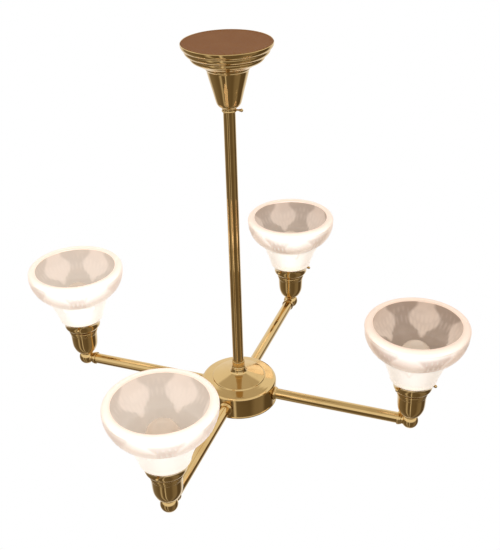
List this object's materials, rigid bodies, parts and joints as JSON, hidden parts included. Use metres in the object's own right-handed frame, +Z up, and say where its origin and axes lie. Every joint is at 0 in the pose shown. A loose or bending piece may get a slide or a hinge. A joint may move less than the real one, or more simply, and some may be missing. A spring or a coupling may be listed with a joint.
{
  "type": "multi arm chandelier",
  "caption": "Hanging ceiling light with straight tube arms around a drum hub, each holding an upturned bell glass shade in a screwed holder.",
  "frame": {"origin": "middle of the face that lies against the ceiling, on the stem's axis", "axes": "+Z up out of the ceiling face, +X along the right arm, +Y along the back arm"},
  "size_m": [0.7222, 0.7222, 0.5947],
  "materials": {
    "polished_brass": "polished and lacquered",
    "bronzed_plate": "satin bronze paint",
    "zinc_steel": "zinc plated",
    "lead_sheath": "clear gold insulation",
    "glazed_porcelain": "glazed porcelain, close to a hard gloss plastic",
    "opal_bulb_glass": "opal coated, lit",
    "satin_glass": "acid-etched satin with clear pressed petals"
  },
  "bodies": {
    "fixture": {"mounting_plate": "bronzed_plate", "ceiling_stud": "zinc_steel", "hickey": "zinc_steel", "stem_nipple": "zinc_steel", "stem_tube": "polished_brass", "neck_collar": "polished_brass", "hub_body": "polished_brass", "cluster_body": "zinc_steel", "hub_bottom_cover": "polished_brass", "hub_cover_screw": "polished_brass", "wiring_junction": "glazed_porcelain", "stem_wiring": "lead_sheath", "arm_tube_right": "polished_brass", "arm_wiring_right": "lead_sheath", "elbow_right": "polished_brass", "socket_cup_right": "polished_brass", "lampholder_right": "glazed_porcelain", "glass_shade_right": "satin_glass", "shade_holder_right": "polished_brass", "arm_tube_back": "polished_brass", "arm_wiring_back": "lead_sheath", "elbow_back": "polished_brass", "socket_cup_back": "polished_brass", "lampholder_back": "glazed_porcelain", "glass_shade_back": "satin_glass", "shade_holder_back": "polished_brass", "arm_tube_left": "polished_brass", "arm_wiring_left": "lead_sheath", "elbow_left": "polished_brass", "socket_cup_left": "polished_brass", "lampholder_left": "glazed_porcelain", "glass_shade_left": "satin_glass", "shade_holder_left": "polished_brass", "arm_tube_front": "polished_brass", "arm_wiring_front": "lead_sheath", "elbow_front": "polished_brass", "socket_cup_front": "polished_brass", "lampholder_front": "glazed_porcelain", "glass_shade_front": "satin_glass", "shade_holder_front": "polished_brass"},
    "canopy": {"canopy": "polished_brass", "canopy_collar": "polished_brass"},
    "canopy_thumbscrew": {"canopy_thumbscrew": "polished_brass"},
    "bulb_right": {"bulb_right": "opal_bulb_glass"},
    "holder_screw_right_1": {"holder_screw_right_1": "polished_brass"},
    "holder_screw_right_2": {"holder_screw_right_2": "polished_brass"},
    "holder_screw_right_3": {"holder_screw_right_3": "polished_brass"},
    "bulb_back": {"bulb_back": "opal_bulb_glass"},
    "holder_screw_back_1": {"holder_screw_back_1": "polished_brass"},
    "holder_screw_back_2": {"holder_screw_back_2": "polished_brass"},
    "holder_screw_back_3": {"holder_screw_back_3": "polished_brass"},
    "bulb_left": {"bulb_left": "opal_bulb_glass"},
    "holder_screw_left_1": {"holder_screw_left_1": "polished_brass"},
    "holder_screw_left_2": {"holder_screw_left_2": "polished_brass"},
    "holder_screw_left_3": {"holder_screw_left_3": "polished_brass"},
    "bulb_front": {"bulb_front": "opal_bulb_glass"},
    "holder_screw_front_1": {"holder_screw_front_1": "polished_brass"},
    "holder_screw_front_2": {"holder_screw_front_2": "polished_brass"},
    "holder_screw_front_3": {"holder_screw_front_3": "polished_brass"}
  },
  "joints": [
    {"name": "canopy_slide", "type": "slide", "parent": "fixture", "child": "canopy", "axis": [0, 0, -1], "range_m": [0, 0.42]},
    {"name": "canopy_thumbscrew_out", "type": "slide", "parent": "canopy", "child": "canopy_thumbscrew", "axis": [1, 0, 0], "range_m": [0, 0.004]},
    {"name": "bulb_right_turn", "type": "hinge", "parent": "fixture", "child": "bulb_right", "pos_m": [0.2834, 0, -0.5726], "axis": [0, 0, 1], "range_deg": [0, 1440]},
    {"name": "holder_screw_right_1_out", "type": "slide", "parent": "fixture", "child": "holder_screw_right_1", "axis": [0.9986, -0.0523, 0], "range_m": [0, 0.004]},
    {"name": "holder_screw_right_2_out", "type": "slide", "parent": "fixture", "child": "holder_screw_right_2", "axis": [-0.454, 0.891, 0], "range_m": [0, 0.004]},
    {"name": "holder_screw_right_3_out", "type": "slide", "parent": "fixture", "child": "holder_screw_right_3", "axis": [-0.5446, -0.8387, 0], "range_m": [0, 0.004]},
    {"name": "bulb_back_turn", "type": "hinge", "parent": "fixture", "child": "bulb_back", "pos_m": [0, 0.2834, -0.5726], "axis": [0, 0, 1], "range_deg": [0, 1440]},
    {"name": "holder_screw_back_1_out", "type": "slide", "parent": "fixture", "child": "holder_screw_back_1", "axis": [0.9848, 0.1736, 0], "range_m": [0, 0.004]},
    {"name": "holder_screw_back_2_out", "type": "slide", "parent": "fixture", "child": "holder_screw_back_2", "axis": [-0.6428, 0.766, 0], "range_m": [0, 0.004]},
    {"name": "holder_screw_back_3_out", "type": "slide", "parent": "fixture", "child": "holder_screw_back_3", "axis": [-0.342, -0.9397, 0], "range_m": [0, 0.004]},
    {"name": "bulb_left_turn", "type": "hinge", "parent": "fixture", "child": "bulb_left", "pos_m": [-0.2834, 0, -0.5726], "axis": [0, 0, 1], "range_deg": [0, 1440]},
    {"name": "holder_screw_left_1_out", "type": "slide", "parent": "fixture", "child": "holder_screw_left_1", "axis": [-0.9781, 0.2079, 0], "range_m": [0, 0.004]},
    {"name": "holder_screw_left_2_out", "type": "slide", "parent": "fixture", "child": "holder_screw_left_2", "axis": [0.309, -0.9511, 0], "range_m": [0, 0.004]},
    {"name": "holder_screw_left_3_out", "type": "slide", "parent": "fixture", "child": "holder_screw_left_3", "axis": [0.6691, 0.7431, 0], "range_m": [0, 0.004]},
    {"name": "bulb_front_turn", "type": "hinge", "parent": "fixture", "child": "bulb_front", "pos_m": [0, -0.2834, -0.5726], "axis": [0, 0, 1], "range_deg": [0, 1440]},
    {"name": "holder_screw_front_1_out", "type": "slide", "parent": "fixture", "child": "holder_screw_front_1", "axis": [0.0958, -0.9954, 0], "range_m": [0, 0.004]},
    {"name": "holder_screw_front_2_out", "type": "slide", "parent": "fixture", "child": "holder_screw_front_2", "axis": [0.8141, 0.5807, 0], "range_m": [0, 0.004]},
    {"name": "holder_screw_front_3_out", "type": "slide", "parent": "fixture", "child": "holder_screw_front_3", "axis": [-0.91, 0.4147, 0], "range_m": [0, 0.004]}
  ]
}
